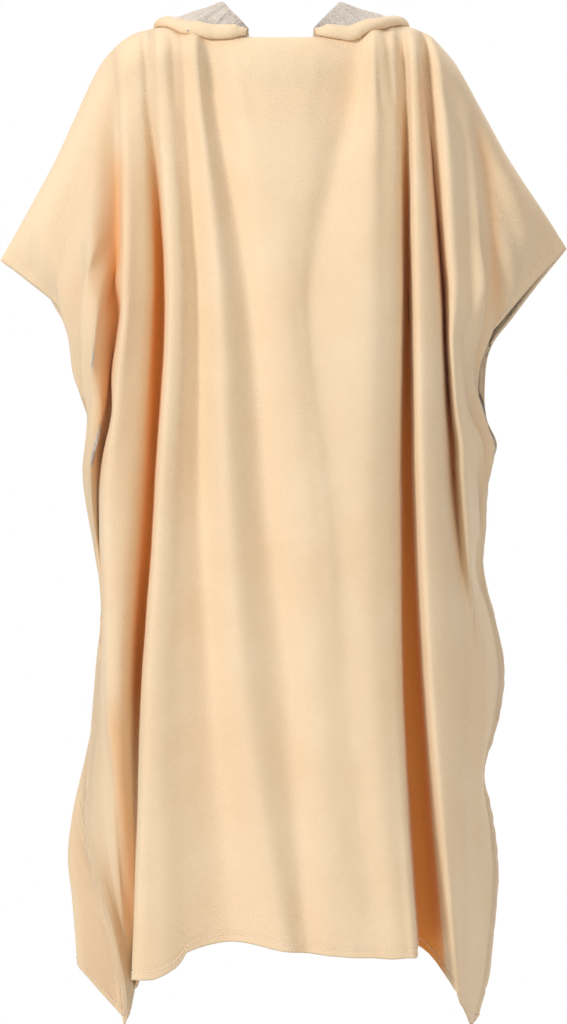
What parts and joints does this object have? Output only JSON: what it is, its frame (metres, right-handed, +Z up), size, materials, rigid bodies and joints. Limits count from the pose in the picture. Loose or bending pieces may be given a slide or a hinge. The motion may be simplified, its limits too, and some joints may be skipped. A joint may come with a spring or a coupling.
{
  "type": "hooded bath poncho",
  "caption": "Adult towelling bath poncho in its hollow worn form: front and back panel, open arm slits, and a hood thrown back with its face edge turned out.",
  "frame": {"origin": "middle of the neck opening, on the height of the shoulder line at the front neckline, where the wearer's neck and shoulders hold the garment up", "axes": "+Z up, the front of the garment faces -Y, +X towards the sleeve of the wearer's left arm, which is on the right when the front is seen"},
  "size_m": [0.6791, 0.3121, 1.228],
  "materials": {
    "apricot_face": "matt towelling, smooth cross-ribbed apricot face",
    "apricot_hem": "matt towelling, turned and stitched apricot hem",
    "cream_pile": "soft looped cream pile"
  },
  "bodies": {
    "root": {"front_panel": "apricot_face", "back_panel": "apricot_face", "front_hem": "apricot_hem", "front_neck_hem": "apricot_hem", "back_hem": "apricot_hem", "front_slit_hem_left": "apricot_hem", "front_slit_hem_right": "apricot_hem", "back_slit_hem_left": "apricot_hem", "back_slit_hem_right": "apricot_hem", "hood_left": "cream_pile", "hood_right": "cream_pile", "hood_hem_left": "apricot_hem", "hood_hem_right": "apricot_hem"}
  },
  "joints": []
}
